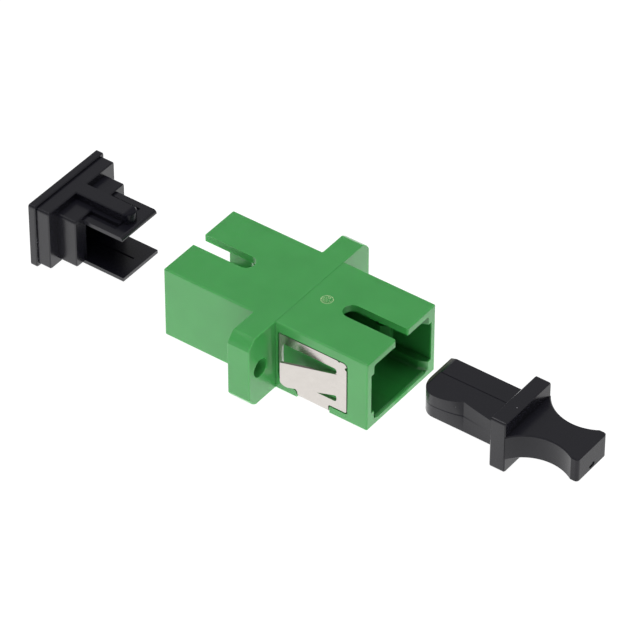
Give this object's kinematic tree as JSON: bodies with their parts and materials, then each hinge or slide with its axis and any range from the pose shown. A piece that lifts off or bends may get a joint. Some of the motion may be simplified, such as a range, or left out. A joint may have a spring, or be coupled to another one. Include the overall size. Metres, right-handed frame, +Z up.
{
  "type": "simplex fibre optic adapter",
  "caption": "Green flanged adapter that joins push-pull fibre connectors end to end, with a folded spring clip for panel mounting and its black dust caps taken off.",
  "frame": {"origin": "on the fibre axis, in the middle plane of the flange, midway between its two screw holes", "axes": "+X along the fibre axis towards the front socket and the clip's side, +Y along the flange's width, +Z up towards the keyways"},
  "size_m": [0.0709, 0.022, 0.0094],
  "materials": {
    "housing": "moulded, satin",
    "insert": "moulded, satin",
    "ceramic": "ground ceramic",
    "clip_steel": "stamped spring sheet",
    "cap": "moulded, satin"
  },
  "bodies": {
    "adapter": {"rear_housing": "housing", "front_housing": "housing", "rear_latch_insert": "insert", "front_latch_insert": "insert", "alignment_sleeve": "ceramic", "panel_clip": "clip_steel"},
    "rear_cap": {"rear_dust_cap": "cap"},
    "front_cap": {"front_dust_cap": "cap"}
  },
  "joints": [
    {"name": "rear_cap_push", "type": "slide", "parent": "adapter", "child": "rear_cap", "axis": [1, 0, 0], "range_m": [0, 0.01625]},
    {"name": "front_cap_push", "type": "slide", "parent": "adapter", "child": "front_cap", "axis": [-1, 0, 0], "range_m": [0, 0.01165]}
  ]
}
